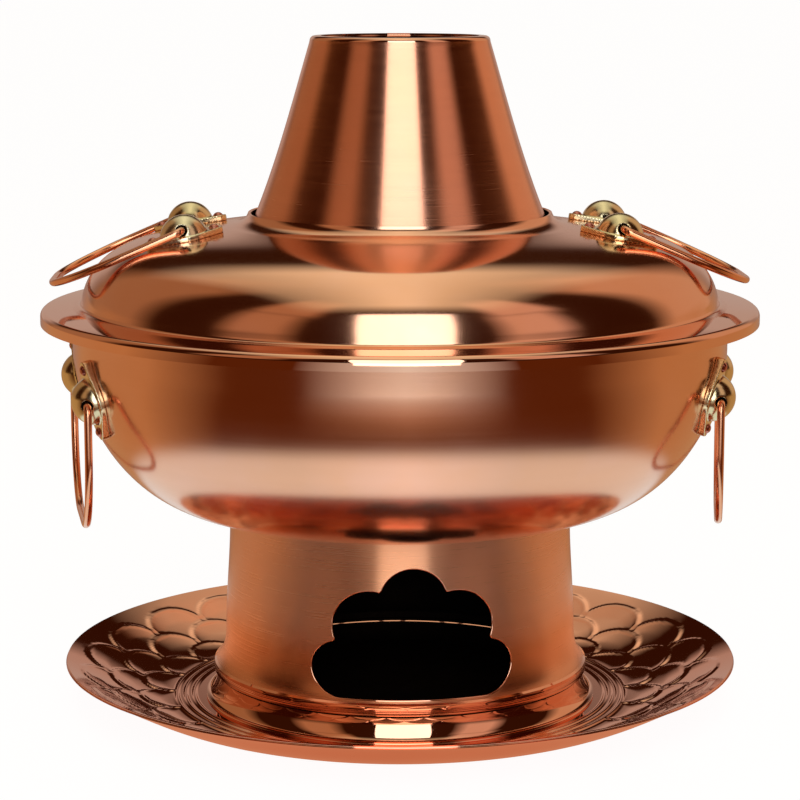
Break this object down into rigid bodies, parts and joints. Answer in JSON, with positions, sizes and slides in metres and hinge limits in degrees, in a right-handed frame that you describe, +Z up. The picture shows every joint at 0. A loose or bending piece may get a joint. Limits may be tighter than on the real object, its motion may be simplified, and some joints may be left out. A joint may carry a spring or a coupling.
{
  "type": "chimney hot pot",
  "caption": "Round spun-metal hot pot round a central fire tube, with a lift-off lid, a tapered lift-off chimney, swinging wire bails, a draught opening and a tray.",
  "frame": {"origin": "centre of the tray's flat underside, on the pot's axis", "axes": "+Z up along the chimney, -Y to the front with the draught opening, +X to the right; the handles are on the X sides"},
  "size_m": [0.34, 0.34, 0.3176],
  "materials": {
    "satin_copper": "spun copper, brushed round the axis and lacquered",
    "polished_copper": "mirror-polished copper",
    "cast_brass": "cast and polished yellow brass",
    "copper_wire": "drawn and polished copper wire",
    "cast_iron": "raw casting"
  },
  "bodies": {
    "tray": {"tray": "polished_copper"},
    "pot": {"foot_ring": "polished_copper", "base_drum": "satin_copper", "bowl": "satin_copper", "fire_tube": "satin_copper", "grate_seat": "cast_iron", "bowl_lug_left_front": "cast_brass", "bowl_lug_left_rear": "cast_brass", "bowl_lug_right_front": "cast_brass", "bowl_lug_right_rear": "cast_brass", "bowl_rivets_left": "polished_copper", "bowl_rivets_right": "polished_copper"},
    "lid": {"lid": "satin_copper", "lid_lug_left_front": "cast_brass", "lid_lug_left_rear": "cast_brass", "lid_lug_right_front": "cast_brass", "lid_lug_right_rear": "cast_brass", "lid_rivets_left": "polished_copper", "lid_rivets_right": "polished_copper"},
    "chimney": {"chimney_cone": "satin_copper", "chimney_collar": "satin_copper"},
    "grate": {"fire_grate": "cast_iron"},
    "lid_bail_left": {"lid_bail_left": "copper_wire"},
    "lid_bail_right": {"lid_bail_right": "copper_wire"},
    "bowl_bail_left": {"bowl_bail_left": "copper_wire"},
    "bowl_bail_right": {"bowl_bail_right": "copper_wire"}
  },
  "joints": [
    {"name": "pot_lift", "type": "slide", "parent": "tray", "child": "pot", "axis": [0, 0, 1], "range_m": [0, 0.12]},
    {"name": "lid_lift", "type": "slide", "parent": "pot", "child": "lid", "axis": [0, 0, 1], "range_m": [0, 0.12]},
    {"name": "chimney_lift", "type": "slide", "parent": "pot", "child": "chimney", "axis": [0, 0, 1], "range_m": [0, 0.12]},
    {"name": "grate_lift", "type": "slide", "parent": "pot", "child": "grate", "axis": [0, 0, 1], "range_m": [0, 0.1]},
    {"name": "lid_bail_left_hinge", "type": "hinge", "parent": "lid", "child": "lid_bail_left", "pos_m": [-0.10143, 0, 0.23051], "axis": [0, 1, 0], "range_deg": [0, 120]},
    {"name": "lid_bail_right_hinge", "type": "hinge", "parent": "lid", "child": "lid_bail_right", "pos_m": [0.10143, 0, 0.23051], "axis": [0, -1, 0], "range_deg": [0, 120]},
    {"name": "bowl_bail_left_hinge", "type": "hinge", "parent": "pot", "child": "bowl_bail_left", "pos_m": [-0.15057, -0.02223, 0.15406], "axis": [-0.1461, 0.9893, 0], "range_deg": [-31, 157]},
    {"name": "bowl_bail_right_hinge", "type": "hinge", "parent": "pot", "child": "bowl_bail_right", "pos_m": [0.15057, -0.02223, 0.15406], "axis": [-0.1461, -0.9893, 0], "range_deg": [-31, 157]}
  ]
}
